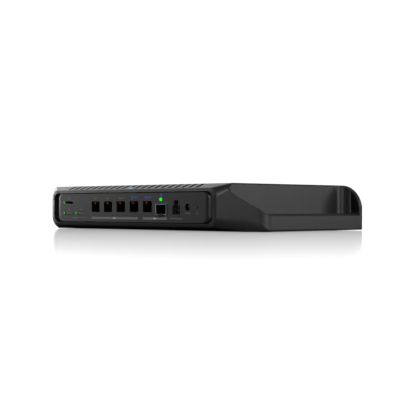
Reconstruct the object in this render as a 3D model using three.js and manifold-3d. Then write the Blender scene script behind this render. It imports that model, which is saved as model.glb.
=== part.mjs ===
// Desktop firewall appliance: a finned metal housing with two low side wings, an inset
// port panel, connectors on a board behind it, and a black rear panel. Millimetres, +Z up,
// X to the right seen from the ports, the ports face -Y. Built as closed meshes.
import * as THREE from 'three'
import { mergeVertices } from 'three/addons/utils/BufferGeometryUtils.js'
import Module from 'manifold-3d'

const wasm = await Module()
wasm.setup()

// ---- driving dimensions --------------------------------------------------------------
const width = 300
const depth = 168
const height = 43.5
const half = width / 2
const face = -depth / 2            // Y of the port face
const gap = 0.3                    // clearance between parts that rest on each other
const wall = 2.6
const base = 0.6                   // underside of the housing above the floor
const floorPlate = 3               // upper face of the housing's own bottom

const rim = { half: 117.3, bottom: 4.7, top: 39, radius: 8.5 }
const lip = { side: 3.4, up: 2.3, back: 0.75 }   // slanted band around the front opening
const flareDepth = 32              // distance behind the face where full width is reached
const slopeDepth = 12              // distance behind the face where full height is reached
const chinDepth = 20               // distance behind the face where the underside is level

const blockHalf = 126.5            // half width of the tall middle block
const ledge = 16.3                 // top of the side wings
// The wing ramp runs down and back from the top, as (distance behind the face, z).
const rampLine = [[0.4, 49.5], [5.7, 41.6], [9.3, 36.3], [13.3, 31.8], [21, 25.1], [28.6, 19.4], [33, 16.3]]
const recessEnd = 163.6
const recessFillet = 12
const archX = 125
const archZ = 18.5
const archRadius = 25
const archBand = 1.4
const wallOpeningPlace = { left: 138.6, bottom: 17, corner: 2 }

const grooveCount = 21
const groovePitch = 9.15
const grooveWidth = 4
const grooveDrop = 2.4
const grooveStart = 2
const grooveEnd = 148

const pocket = { half: 113.8, bottom: 7.3, top: 36.4, radius: 7, depth: 5.6 }
const panel = { half: 111.4, bottom: 7.9, top: 35.9, radius: 6.5, front: 0.5, thick: 3, nose: 7 }
const rearSeat = 165.2

const jackX = [-47.8, -28.9, -9.8, 9.2, 28.2]
const jack = { wide: 12.4, bottom: 17.5, top: 28, body: 16.4, depth: 17, throat: 13 }
const cage = { x: 47, wide: 15.4, bottom: 15, top: 25.4, side: 1.2, cap: 0.9, depth: 46 }
const latch = { x: 46.75, wide: 7, top: 14.5, bottom: 13.5, reach: 14 }
const power = { x: 67.05, wide: 10.3, bottom: 15.4, top: 23.8, keyWide: 5.9, keyTop: 28.5 }
const powerPitch = 4.2
const dc = { x: 82.1, z: 22.1, bore: 6.4, pin: 3, split: 0.9 }
const reset = { x: 94.5, z: 21.8, hole: 1.6 }
const card = { x: -89.8, wide: 12.8, bottom: 25.9, top: 28.1 }
const trayX = [-89.55, -69.85]
const tray = { wide: 13.3, bottom: 14.7, top: 18.1, length: 18 }
const lensBore = 1.7

const board = { half: 105, start: 8, end: 150, bottom: 12, top: 13.6 }
const standoffs = [[-98, 46], [98, 46], [-98, 142], [98, 142]]
const coverBosses = [[-112, 60], [112, 60], [-112, 135], [112, 135]]
const rearPosts = [[-117, 9], [117, 9], [-117, 34], [117, 34]]
const feet = [[-128, 52], [128, 52], [-128, 146], [128, 146]]

// ---- materials -----------------------------------------------------------------------
function finish(colour, roughness, metalness) {
  return new THREE.MeshStandardMaterial({ color: colour, roughness, metalness })
}
const paintedMetal = finish(0x464847, 0.55, 0.2)
const panelPlastic = finish(0x3f4140, 0.6, 0)
const blackPlastic = finish(0x0b0b0c, 0.6, 0)
const rubber = finish(0x161616, 0.9, 0)
const brightSteel = finish(0xb9bbbd, 0.35, 1)
const aluminium = finish(0xa9abad, 0.45, 1)
const goldPlate = finish(0xc9a24a, 0.3, 1)
const greenBoard = finish(0x14432c, 0.5, 0)
const greenLens = finish(0x18e030, 0.3, 0)
const blueLens = finish(0x54a1d0, 0.3, 0)

// ---- making and joining solids -------------------------------------------------------
function solid(geometry) {
  const plain = geometry.clone()
  plain.deleteAttribute('normal')
  plain.deleteAttribute('uv')
  const merged = mergeVertices(plain, 1e-4)
  const made = new wasm.Manifold(new wasm.Mesh({
    numProp: 3,
    vertProperties: new Float32Array(merged.attributes.position.array),
    triVerts: new Uint32Array(merged.index.array),
  }))
  return made
}

function geometryFrom(body) {
  const mesh = body.getMesh()
  const geometry = new THREE.BufferGeometry()
  geometry.setAttribute('position', new THREE.BufferAttribute(new Float32Array(mesh.vertProperties), 3))
  geometry.setIndex(new THREE.BufferAttribute(new Uint32Array(mesh.triVerts), 1))
  geometry.computeVertexNormals()
  return geometry
}

function cut(body, tools) {
  return tools.reduce((left, tool) => left.subtract(tool), body)
}

function join(bodies) {
  return bodies.reduce((left, right) => left.add(right))
}

// Distances d are measured backwards from the port face.
function block(x0, x1, d0, d1, z0, z1) {
  const geometry = new THREE.BoxGeometry(x1 - x0, d1 - d0, z1 - z0)
  geometry.translate((x0 + x1) / 2, face + (d0 + d1) / 2, (z0 + z1) / 2)
  return solid(geometry)
}

function alongY(shape, d0, d1, curveSegments = 6) {
  const geometry = new THREE.ExtrudeGeometry(shape, { depth: d1 - d0, bevelEnabled: false, curveSegments })
  geometry.rotateX(Math.PI / 2)
  geometry.translate(0, face + d1, 0)
  return solid(geometry)
}

function alongX(shape, x0, x1) {
  const geometry = new THREE.ExtrudeGeometry(shape, { depth: x1 - x0, bevelEnabled: false, curveSegments: 6 })
  const turn = new THREE.Matrix4().set(0, 0, 1, x0, 1, 0, 0, face, 0, 1, 0, 0, 0, 0, 0, 1)
  geometry.applyMatrix4(turn)
  return solid(geometry)
}

function alongZ(shape, z0, z1, curveSegments = 6) {
  const geometry = new THREE.ExtrudeGeometry(shape, { depth: z1 - z0, bevelEnabled: false, curveSegments })
  geometry.translate(0, face, z0)
  return solid(geometry)
}

function outline(points) {
  return new THREE.Shape(points.map(([a, b]) => new THREE.Vector2(a, b)))
}

function roundedOutline(x0, x1, y0, y1, radius) {
  const shape = new THREE.Shape()
  shape.moveTo(x0 + radius, y0)
  shape.lineTo(x1 - radius, y0)
  shape.absarc(x1 - radius, y0 + radius, radius, -Math.PI / 2, 0)
  shape.lineTo(x1, y1 - radius)
  shape.absarc(x1 - radius, y1 - radius, radius, 0, Math.PI / 2)
  shape.lineTo(x0 + radius, y1)
  shape.absarc(x0 + radius, y1 - radius, radius, Math.PI / 2, Math.PI)
  shape.lineTo(x0, y0 + radius)
  shape.absarc(x0 + radius, y0 + radius, radius, Math.PI, Math.PI * 1.5)
  return shape
}

function pin(x, d0, d1, z, diameter, sides = 12) {
  const geometry = new THREE.CylinderGeometry(diameter / 2, diameter / 2, d1 - d0, sides)
  geometry.translate(x, face + (d0 + d1) / 2, z)
  return solid(geometry)
}

function post(x, d, z0, z1, diameter, sides = 16) {
  const geometry = new THREE.CylinderGeometry(diameter / 2, diameter / 2, z1 - z0, sides)
  geometry.rotateX(Math.PI / 2)
  geometry.translate(x, face + d, (z0 + z1) / 2)
  return solid(geometry)
}

const mirrorX = (body) => body.mirror([1, 0, 0])
const bothSides = (body) => [body, mirrorX(body)]

// ---- the group of named parts --------------------------------------------------------
const group = new THREE.Group()
group.name = 'firewall_appliance'

function add(name, body, material) {
  const geometry = geometryFrom(body)
  const mesh = new THREE.Mesh(geometry, material)
  mesh.name = name
  group.add(mesh)
}

// ---- outer form: rounded rings joined one behind the other ----------------------------
// The lower corners are parts of an ellipse, lowWide across and lowTall up.
function ring(d, halfWidth, bottom, top, lowWide, lowTall, topRadius) {
  const steps = 5
  const corners = [
    [halfWidth - lowWide, bottom + lowTall, lowWide, lowTall, -90],
    [halfWidth - topRadius, top - topRadius, topRadius, topRadius, 0],
    [-halfWidth + topRadius, top - topRadius, topRadius, topRadius, 90],
    [-halfWidth + lowWide, bottom + lowTall, lowWide, lowTall, 180],
  ]
  const points = []
  for (const [x, z, wide, tall, start] of corners) {
    for (let i = 0; i <= steps; i += 1) {
      const angle = (start + (90 * i) / steps) * Math.PI / 180
      points.push([x + wide * Math.cos(angle), face + d, z + tall * Math.sin(angle)])
    }
  }
  return points
}

function loft(rings) {
  const count = rings[0].length
  const positions = rings.flat(2)
  const index = []
  for (let r = 0; r < rings.length - 1; r += 1) {
    for (let i = 0; i < count; i += 1) {
      const a = r * count + i
      const b = r * count + ((i + 1) % count)
      index.push(a, b + count, b)
      index.push(a, a + count, b + count)
    }
  }
  const last = (rings.length - 1) * count
  for (let i = 1; i < count - 1; i += 1) {
    index.push(0, i, i + 1)
    index.push(last, last + i + 1, last + i)
  }
  const geometry = new THREE.BufferGeometry()
  geometry.setAttribute('position', new THREE.Float32BufferAttribute(positions, 3))
  geometry.setIndex(index)
  geometry.computeVertexNormals()
  return solid(geometry)
}

const flareAt = (d) => rim.half + (half - rim.half) * Math.min(1, d / flareDepth)
const topAt = (d) => rim.top + (height - rim.top) * Math.min(1, d / slopeDepth)
const chinAt = (d) => base + (rim.bottom - base) * Math.max(0, 1 - d / chinDepth)

const outer = loft([
  ring(0, flareAt(0) - lip.side, chinAt(0) + lip.up, topAt(0) - lip.up, 7, 7, 7),
  ring(lip.back, flareAt(lip.back), chinAt(lip.back), topAt(lip.back), 7.4, 8.8, rim.radius),
  ring(6, flareAt(6), chinAt(6), topAt(6), 5, 9.5, 7),
  ring(12, flareAt(12), chinAt(12), topAt(12), 5, 10.5, 4),
  ring(20, flareAt(20), chinAt(20), topAt(20), 5, 12, 2),
  ring(26, flareAt(26), chinAt(26), topAt(26), 4, 8, 1.5),
  ring(32, flareAt(32), chinAt(32), topAt(32), 1.2, 1.2, 1.2),
  ring(depth, half, base, height, 1.2, 1.2, 1.2),
])

function archOutline(inset, bottom, cornerRadius) {
  const radius = archRadius - inset
  const side = archX + radius
  const shape = new THREE.Shape()
  shape.moveTo(-side + cornerRadius, bottom)
  shape.lineTo(side - cornerRadius, bottom)
  shape.absarc(side - cornerRadius, bottom + cornerRadius, cornerRadius, -Math.PI / 2, 0)
  shape.lineTo(side, archZ)
  shape.absarc(archX, archZ, radius, 0, Math.PI / 2)
  shape.lineTo(-archX, archZ + radius)
  shape.absarc(-archX, archZ, radius, Math.PI / 2, Math.PI)
  shape.lineTo(-side, bottom + cornerRadius)
  shape.absarc(-side + cornerRadius, bottom + cornerRadius, cornerRadius, Math.PI, Math.PI * 1.5)
  return shape
}

// The space above each wing, rounded where it meets the tall block at the far end.
const recessPlan = new THREE.Shape()
recessPlan.moveTo(blockHalf, -1)
recessPlan.lineTo(half + 2, -1)
recessPlan.lineTo(half + 2, recessEnd)
recessPlan.lineTo(blockHalf + recessFillet, recessEnd)
recessPlan.absarc(blockHalf + recessFillet, recessEnd - recessFillet, recessFillet, Math.PI / 2, Math.PI)
const recessSide = outline([...rampLine, [depth + 2, ledge], [depth + 2, height + 6]])
const recess = alongZ(recessPlan, ledge - 1, height + 6).intersect(alongX(recessSide, 100, half + 3))

const ledgeChamfer = alongY(outline([[half + 1, 13.4], [half + 1, 17.5], [half - 4.1, 17.5]]), 18, recessEnd)
const blockChamfer = alongY(
  outline([[blockHalf + 1, height - 2.6], [blockHalf + 1, height + 1], [blockHalf - 2.6, height + 1]]),
  16, recessEnd - recessFillet)

const openingRadius = archRadius - archBand
const openingEdge = wallOpeningPlace.left - archX
const openingRise = Math.acos(openingEdge / openingRadius)
const wallOpeningShape = new THREE.Shape()
wallOpeningShape.moveTo(wallOpeningPlace.left, wallOpeningPlace.bottom)
wallOpeningShape.lineTo(archX + openingRadius - wallOpeningPlace.corner, wallOpeningPlace.bottom)
wallOpeningShape.lineTo(archX + openingRadius - 0.1, wallOpeningPlace.bottom + wallOpeningPlace.corner)
wallOpeningShape.absarc(archX, archZ, openingRadius, 0.03, openingRise)
const wallOpening = alongY(wallOpeningShape, recessEnd - 1, rearSeat + 0.5, 8)

function groove(x) {
  const start = grooveStart
  const shape = outline([
    [start, height + 1],
    [start, topAt(start) - 0.3],
    [start + 2, topAt(start + 2) - grooveDrop],
    [slopeDepth, height - grooveDrop],
    [grooveEnd - 3, height - grooveDrop],
    [grooveEnd, height + 1],
  ])
  return alongX(shape, x - grooveWidth / 2, x + grooveWidth / 2)
}
const grooveX = Array.from({ length: grooveCount }, (_, i) => (i - (grooveCount - 1) / 2) * groovePitch)

// ---- top housing -----------------------------------------------------------------------
const frontPocket = alongY(
  roundedOutline(-pocket.half, pocket.half, pocket.bottom, pocket.top, pocket.radius), -1, pocket.depth)
const frontThroat = alongY(roundedOutline(-108.6, 108.6, 10, 34, 4), 4, 9)
const cavity = join([
  block(-116, 116, 7.6, 26, 6, 36.4),
  block(-118, 118, 14, 30, 6, 38.4),
  block(-122, 122, 24, rearSeat + 1, floorPlate, 38.4),
])
const wingCavity = block(121, 147, 37.5, 160, floorPlate - 0.5, 13.6)
const coverOpening = block(-146, 146, 37, 160, -1, floorPlate)
const rearOpening = alongY(archOutline(archBand, 4.1, 2), rearSeat, depth + 1, 10)

const bossBodies = coverBosses.map(([x, d]) => post(x, d, 2.9, 39.5, 8, 12))
const bossHoles = coverBosses.map(([x, d]) => post(x, d, 2, 12, 3.4, 10))
const rearPostBodies = rearPosts.map(([x, z]) => {
  const inner = x > 0 ? x - 4.5 : x + 4.5
  const outerX = x > 0 ? 123 : -123
  const low = z < 20 ? floorPlate - 0.4 : z - 4.5
  const high = z < 20 ? z + 4.5 : 39.5
  return block(Math.min(inner, outerX), Math.max(inner, outerX), 153, rearSeat, low, high)
})
const rearHoles = rearPosts.map(([x, z]) => pin(x, 154, depth, z, 3.4, 10))

let housing = outer.intersect(alongY(archOutline(0, base, 1.2), -1, depth + 1, 10))
housing = cut(housing, bothSides(recess))
housing = cut(housing, bothSides(ledgeChamfer))
housing = cut(housing, bothSides(blockChamfer))
housing = cut(housing, [frontPocket, frontThroat, cavity, coverOpening, rearOpening])
housing = cut(housing, bothSides(wingCavity))
housing = cut(housing, bothSides(wallOpening))
housing = cut(housing, grooveX.map(groove))
housing = join([housing, ...bossBodies, ...rearPostBodies])
housing = cut(housing, [...bossHoles, ...rearHoles])
add('top_housing', housing, paintedMetal)

// ---- base cover, feet and their screws -------------------------------------------------
let cover = block(-146 + gap, 146 - gap, 37 + gap, 160 - gap, base, floorPlate - 0.4)
cover = join([cover, ...standoffs.map(([x, d]) => post(x, d, 2, board.bottom - gap, 6, 12))])
cover = cut(cover, standoffs.map(([x, d]) => post(x, d, 3.6, 14, 3.4, 10)))
cover = cut(cover, coverBosses.map(([x, d]) => post(x, d, 0, 5, 3.4, 10)))
cover = cut(cover, coverBosses.map(([x, d]) => post(x, d, 0, 1.7, 6.2, 12)))
cover = cut(cover, feet.map(([x, d]) => post(x, d, 0, 1.4, 14.6, 20)))
add('base_cover', cover, paintedMetal)

feet.forEach(([x, d], i) => {
  add(`foot_${i + 1}`, post(x, d, 0, 1.1, 14, 20), rubber)
})

function screwUp(x, d) {
  const body = join([post(x, d, 0.65, 1.4, 5.6, 12), post(x, d, 1.3, 9, 2.8, 10)])
  return cut(body, [post(x, d, 0, 1.1, 2.6, 6)])
}
coverBosses.forEach(([x, d], i) => {
  add(`cover_screw_${i + 1}`, screwUp(x, d), brightSteel)
})

// ---- front panel and seal ---------------------------------------------------------------
const panelPlan = new THREE.Shape()
const noseX = panel.half - panel.nose
const noseD = panel.front + panel.nose
const noseEnd = Math.asin((panel.nose - panel.thick - 1) / panel.nose)
panelPlan.moveTo(-noseX, panel.front)
panelPlan.lineTo(noseX, panel.front)
panelPlan.absarc(noseX, noseD, panel.nose, -Math.PI / 2, -noseEnd)
panelPlan.lineTo(noseX + 1.5, panel.front + panel.thick)
panelPlan.lineTo(-noseX - 1.5, panel.front + panel.thick)
panelPlan.absarc(-noseX, noseD, panel.nose, Math.PI + noseEnd, Math.PI * 1.5)
const panelFace = alongZ(panelPlan, panel.bottom, panel.top).intersect(
  alongY(roundedOutline(-panel.half, panel.half, panel.bottom, panel.top, panel.radius), 0, 6))

const throughPanel = (x0, x1, z0, z1) => block(x0, x1, -1, 6, z0, z1)
const pillOpening = (x, grow) => alongY(
  roundedOutline(x - tray.wide / 2 - grow, x + tray.wide / 2 + grow, tray.bottom - grow, tray.top + grow,
    (tray.top - tray.bottom) / 2 + grow - 0.01), -1, 6, 4)
const lensSpots = [[-98.6, 27], [-98.6, 16.6], [-79.2, 16.6]]
const portLens = { x: 46.4, z: 29.4, wide: 3.5, tall: 2.9 }

const panelCuts = [
  ...jackX.map((x) => throughPanel(x - jack.wide / 2, x + jack.wide / 2, jack.bottom, jack.top)),
  throughPanel(
    cage.x - cage.wide / 2 - gap, cage.x + cage.wide / 2 + gap, cage.bottom - gap, cage.top + gap),
  throughPanel(
    latch.x - latch.wide / 2 - gap, latch.x + latch.wide / 2 + gap, latch.bottom - 0.8, cage.bottom),
  throughPanel(power.x - power.wide / 2, power.x + power.wide / 2, power.bottom, power.top),
  throughPanel(power.x - power.keyWide / 2, power.x + power.keyWide / 2, power.top - 1, power.keyTop),
  pin(dc.x, -1, 6, dc.z, dc.bore, 20),
  pin(reset.x, -1, 6, reset.z, reset.hole, 10),
  throughPanel(card.x - card.wide / 2, card.x + card.wide / 2, card.bottom, card.top),
  ...trayX.map((x) => pillOpening(x, 0.3)),
  ...lensSpots.map(([x, z]) => pin(x, -1, 6, z, lensBore + 0.5, 10)),
  throughPanel(portLens.x - 2, portLens.x + 2, portLens.z - 1.75, portLens.z + 1.75),
  throughPanel(53.2, 54.8, 25.4, 26.7),
]
add('front_panel', cut(panelFace, panelCuts), panelPlastic)

const sealOuter = alongY(roundedOutline(-113.4, 113.4, 7.7, 36, 6.6), 4, pocket.depth - gap)
const sealInner = alongY(roundedOutline(-107.5, 107.5, 10.6, 33.4, 4), 3, 7)
const noseRelief = alongY(roundedOutline(-112, 112, 2, 40, 1), 3, 4.8)
add('panel_seal', cut(sealOuter, [sealInner, noseRelief]), rubber)

// ---- main board and what stands on it ----------------------------------------------------
let mainBoard = block(-board.half, board.half, board.start, board.end, board.bottom, board.top)
mainBoard = cut(mainBoard, standoffs.map(([x, d]) => post(x, d, 10, 16, 3.6, 10)))
mainBoard = cut(mainBoard, [block(38, 56, 5, 22, 10, 16)])
add('main_board', mainBoard, greenBoard)

function screwDown(x, d) {
  const head = board.top + gap
  const body = join([post(x, d, head, head + 1.8, 5.6, 12), post(x, d, head - 8, head + 0.2, 2.8, 10)])
  return cut(body, [post(x, d, head + 0.8, head + 3, 2.6, 6)])
}
standoffs.forEach(([x, d], i) => {
  add(`board_screw_${i + 1}`, screwDown(x, d), brightSteel)
})

const behindPanel = panel.front + panel.thick + gap
const onBoard = board.top + gap

function networkJack(x) {
  const side = jack.body / 2
  const shell = block(x - side, x + side, behindPanel, behindPanel + jack.depth, onBoard, 31)
  const mouth = block(x - 5.95, x + 5.95, 0, behindPanel + jack.throat, jack.bottom + 2.2, jack.top - 0.2)
  const keyway = block(x - 3, x + 3, 0, behindPanel + jack.throat, jack.bottom, jack.bottom + 3)
  const contacts = []
  for (let i = 0; i < 8; i += 1) {
    const cx = x + (i - 3.5) * 1.02
    contacts.push(block(cx - 0.2, cx + 0.2, 9, behindPanel + jack.throat + 1, jack.top - 2.2, jack.top + 0.3))
  }
  return join([cut(shell, [mouth, keyway]), ...contacts])
}
jackX.forEach((x, i) => {
  add(`rj45_jack_${i + 1}`, networkJack(x), blackPlastic)
})

// ---- pluggable module cage and its latch tongue --------------------------------------------
const cageFront = 0.1
let cageBody = block(
  cage.x - cage.wide / 2, cage.x + cage.wide / 2, cageFront, cage.depth, cage.bottom, cage.top)
cageBody = cut(cageBody, [
  block(cage.x - cage.wide / 2 + cage.side, cage.x + cage.wide / 2 - cage.side, -1, cage.depth - 1,
    cage.bottom + cage.cap, cage.top - cage.cap),
])
add('sfp_cage', cageBody, brightSteel)

const tongue = join([
  block(latch.x - latch.wide / 2, latch.x + latch.wide / 2, 0.4, 4, latch.bottom, latch.top),
  block(latch.x - 2.2, latch.x + 2.2, 3.5, latch.reach, latch.bottom + 0.4, latch.top),
])
add('sfp_latch', tongue, blackPlastic)

// ---- power connectors ------------------------------------------------------------------------
const headerBack = behindPanel + 17
let header = block(power.x - 6.6, power.x + 6.6, behindPanel, headerBack, onBoard, 30)
header = cut(header, [
  block(power.x - power.keyWide / 2, power.x + power.keyWide / 2, 0, 15, power.top + 0.5, power.keyTop),
])
const pinSpots = []
for (const row of [-0.5, 0.5]) {
  for (const column of [-0.5, 0.5]) {
    pinSpots.push([power.x + column * powerPitch, (power.bottom + power.top) / 2 + row * powerPitch])
  }
}
header = cut(header, pinSpots.map(([x, z]) => block(x - 1.75, x + 1.75, 0, 15, z - 1.65, z + 1.65)))
header = cut(header, pinSpots.map(([x, z]) => block(x - 0.8, x + 0.8, 10, headerBack + 1, z - 0.8, z + 0.8)))
add('power_header', header, blackPlastic)
pinSpots.forEach(([x, z], i) => {
  add(`power_pin_${i + 1}`, block(x - 0.5, x + 0.5, 6.5, headerBack + 1.5, z - 0.5, z + 0.5), goldPlate)
})

let dcBody = block(dc.x - 5, dc.x + 5, behindPanel, behindPanel + 14, onBoard, 27.6)
dcBody = cut(dcBody, [pin(dc.x, 0, 14, dc.z, dc.bore, 20), pin(dc.x, 10, 20, dc.z, dc.pin + 0.6, 12)])
add('dc_jack', dcBody, blackPlastic)
const dcPin = cut(pin(dc.x, 2.7, 19, dc.z, dc.pin, 16), [
  block(dc.x - 2, dc.x + 2, 0, 9, dc.z - dc.split / 2, dc.z + dc.split / 2),
])
add('dc_jack_pin', dcPin, brightSteel)

// ---- reset button ---------------------------------------------------------------------------------
let switchBody = block(reset.x - 3.2, reset.x + 3.2, 7, 13, onBoard, 25)
switchBody = cut(switchBody, [pin(reset.x, 5, 11.5, reset.z, 2.6, 12)])
add('reset_switch', switchBody, blackPlastic)
add('reset_button', join([pin(reset.x, 4.3, 10.2, reset.z, 2, 12)]), rubber)

// ---- card slot and SIM trays ------------------------------------------------------------------------
const cardBack = behindPanel + 22
const cardLeft = card.x - card.wide / 2 + 0.4
let cardBody = block(card.x - 7.4, card.x + 7.4, behindPanel, cardBack, 24, 30.4)
cardBody = cut(cardBody, [
  block(cardLeft, card.x + card.wide / 2 - 0.4, 0, behindPanel + 14, card.bottom + 0.5, card.top),
  block(cardLeft, card.x + 1.5, 0, behindPanel + 14, card.bottom + 0.1, card.top - 0.4),
])
cardBody = join([cardBody, block(card.x - 7.4, card.x + 7.4, cardBack - 4, cardBack, onBoard, 25)])
add('microsd_socket', cardBody, blackPlastic)

trayX.forEach((x, i) => {
  const pillRadius = (tray.top - tray.bottom) / 2 - 0.01
  const pill = alongY(
    roundedOutline(x - tray.wide / 2, x + tray.wide / 2, tray.bottom, tray.top, pillRadius),
    panel.front + 0.1, panel.front + 2.6, 4)
  let body = join([pill, block(x - 5.8, x + 5.8, panel.front + 2, tray.length, 15.4, 16.9)])
  body = cut(body, [
    pin(x + 5.2, 0, 1.9, (tray.bottom + tray.top) / 2, 0.9, 8),
    block(x - 4.6, x + 4.2, 6, tray.length - 1.2, 16.1, 17.5),
  ])
  add(`sim_tray_${i + 1}`, body, panelPlastic)
  let socket = block(x - 7.2, x + 7.2, behindPanel, behindPanel + 17, onBoard, 18.9)
  socket = cut(socket, [block(x - 6.1, x + 6.1, 2, behindPanel + 15.8, 15.1, 17.3)])
  add(`sim_socket_${i + 1}`, socket, blackPlastic)
})

// ---- lamps ------------------------------------------------------------------------------------------
const lampBack = 9
const lampNames = ['microsd_lamp', 'sim_lamp_1', 'sim_lamp_2']
lensSpots.forEach(([x, z], i) => {
  add(lampNames[i], pin(x, panel.front + 0.1, lampBack, z, lensBore, 10), greenLens)
})
add('port_lamp', alongY(
  roundedOutline(portLens.x - 1.7, portLens.x + 1.7, portLens.z - 1.45, portLens.z + 1.45, 0.8),
  panel.front + 0.1, lampBack, 3), greenLens)
add('sfp_lamp', block(53.5, 54.5, panel.front + 0.1, 5, 25.75, 26.4), greenLens)
const statusShape = outline([
  [grooveStart + 0.35, topAt(grooveStart) - 0.05],
  [grooveStart + 2.1, topAt(grooveStart + 2) - 1.9],
  [grooveStart + 5, topAt(grooveStart + 5) - 1.9],
  [grooveStart + 5, topAt(grooveStart + 5) - 0.5],
])
add('status_light', alongX(statusShape, -grooveWidth / 2 + gap, grooveWidth / 2 - gap), blueLens)

// ---- rear panel ---------------------------------------------------------------------------------------
let rear = alongY(archOutline(archBand + gap, 4.1 + gap, 2), rearSeat + gap, depth, 10)
const pocketShape = outline([[137, 19], [145.5, 19], [145, 25], [141.8, 31], [137.5, 35]])
rear = cut(rear, bothSides(alongY(pocketShape, rearSeat - 1, rearSeat + 1.6)))
rear = cut(rear, rearPosts.map(([x, z]) => pin(x, 160, depth + 1, z, 3.4, 10)))
rear = cut(rear, rearPosts.map(([x, z]) => pin(x, depth - 1.2, depth + 1, z, 6.2, 12)))
for (let i = 0; i < 6; i += 1) {
  rear = cut(rear, [block(-100, 100, depth - 0.7, depth + 1, 11 + i * 4, 12.6 + i * 4)])
}
add('rear_panel', rear, blackPlastic)

rearPosts.forEach(([x, z], i) => {
  const body = join([pin(x, depth - 0.9, depth - 0.15, z, 5.6, 12), pin(x, 158, depth - 0.5, z, 2.8, 10)])
  add(`rear_screw_${i + 1}`, cut(body, [pin(x, depth - 0.6, depth + 1, z, 2.6, 6)]), brightSteel)
})

// ---- processor, memory, radio and antennas --------------------------------------------------------------
add('processor', block(-22, 18, 70, 110, onBoard, onBoard + 3), blackPlastic)
let sink = block(-34, 30, 60, 120, onBoard + 3 + gap, 22)
sink = join([sink, block(-34, 30, 60, 120, 21, 26)])
for (let i = 0; i < 8; i += 1) {
  sink = join([sink, block(-34 + i * 8.8, -31.6 + i * 8.8, 60, 120, 25, 38.4 - gap)])
}
add('heat_sink', sink, aluminium)
add('memory_chip_1', block(48, 60, 66, 80, onBoard, onBoard + 1.2), blackPlastic)
add('memory_chip_2', block(48, 60, 90, 104, onBoard, onBoard + 1.2), blackPlastic)
add('cellular_module', block(-92, -62, 58, 100, onBoard, onBoard + 2.4), aluminium)
add('antenna_left', block(-146, -129, 60, 140, 9.6, 11), goldPlate)
add('antenna_right', block(129, 146, 60, 140, 9.6, 11), goldPlate)

export default group
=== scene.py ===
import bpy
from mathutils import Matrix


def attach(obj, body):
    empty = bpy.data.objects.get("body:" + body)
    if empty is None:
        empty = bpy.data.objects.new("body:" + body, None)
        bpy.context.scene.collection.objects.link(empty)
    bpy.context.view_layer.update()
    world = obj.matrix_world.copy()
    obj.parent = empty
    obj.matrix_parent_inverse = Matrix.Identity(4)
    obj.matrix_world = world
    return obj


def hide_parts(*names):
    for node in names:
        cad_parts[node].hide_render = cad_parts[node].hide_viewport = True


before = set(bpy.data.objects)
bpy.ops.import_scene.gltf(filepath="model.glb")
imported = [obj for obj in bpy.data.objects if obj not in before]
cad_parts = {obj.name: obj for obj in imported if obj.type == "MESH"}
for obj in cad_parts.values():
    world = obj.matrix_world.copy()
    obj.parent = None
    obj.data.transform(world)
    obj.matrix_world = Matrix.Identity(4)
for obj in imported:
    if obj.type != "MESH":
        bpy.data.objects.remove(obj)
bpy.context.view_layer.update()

import math

import bmesh
import bpy
from mathutils import Matrix, Vector

# ---- driving sizes in millimetres: the CAD model's, with a tighter curve in the recess -------
MM = 0.001
DEPTH = 168.0
FACE = -DEPTH / 2
HEIGHT = 43.5
HALF = 150.0
BASE = 0.6
RIM_HALF, RIM_BOTTOM, RIM_TOP = 117.3, 4.7, 39.0
LIP_SIDE, LIP_UP, LIP_BACK = 3.4, 2.3, 0.75
FLARE, SLOPE, CHIN = 32.0, 12.0, 20.0
BLOCK_HALF = 126.5
LEDGE = 16.3
RAMP = [(0.4, 49.5), (5.7, 41.6), (9.3, 36.3), (13.3, 31.8), (21.0, 25.1), (28.6, 19.4), (33.0, 16.3)]
RECESS_END = 163.6
RECESS_FILLET = 8.0
ARCH_X, ARCH_Z, ARCH_R, ARCH_BAND = 125.0, 18.5, 25.0, 1.4
OPENING_LEFT, OPENING_LOW = 138.6, 17.0
GROOVES, PITCH, GROOVE_WIDE = 21, 9.15, 4.0
PANEL_FRONT = 0.5
BEHIND_PANEL = 3.8
JACKS = [-47.8, -28.9, -9.8, 9.2, 28.2]
CAGE_X, CAGE_HALF = 47.0, 7.7
LATCH_X = 46.75
POWER_X = 67.05
DC_X, DC_Z = 82.1, 22.1
RESET_X, RESET_Z = 94.5, 21.8
CARD_X = -89.8
TRAYS = [-89.55, -69.85]
LAMPS = [(-98.6, 27.0), (-98.6, 16.6), (-79.2, 16.6)]
POWER_PINS = [(POWER_X + a * 4.2, 19.6 + b * 4.2) for b in (-0.5, 0.5) for a in (-0.5, 0.5)]
REAR_SCREWS = [(-117, 9), (117, 9), (-117, 34), (117, 34)]
COVER_SCREWS = [(-112, 60), (112, 60), (-112, 135), (112, 135)]
BOARD_SCREWS = [(-98, 46), (98, 46), (-98, 142), (98, 142)]
FEET = [(-128, 52), (128, 52), (-128, 146), (128, 146)]
BODY = "chassis"

# ---- light and camera, in metres ------------------------------
FLOOR_FILL, FLOOR_ROUGH, FLOOR_IOR = 1.0, 0.12, 1.024
# The glow lies this way. Its range gives the cosines where it starts and peaks, then both strengths.
GLOW_FROM = (-0.9, 0.22, 0.4)
GLOW_RANGE = (0.7, 0.99, 0.12, 1.2)
# The white wall behind the object, which the floor mirrors, and the heights between which it fades.
WALL_FROM = (-0.7071, 0.7071, 0.0)
WALL_RANGE = (0.6, 0.85, 0.0, 1.2)
WALL_FADE = (0.1, 0.34, 1.0, 0.0)
CAMERA_AT = (0.7636, -0.7392, 0.0215)
CAMERA_TURN = (90, 0, 45)
CAMERA_LENS = 91.66
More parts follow.
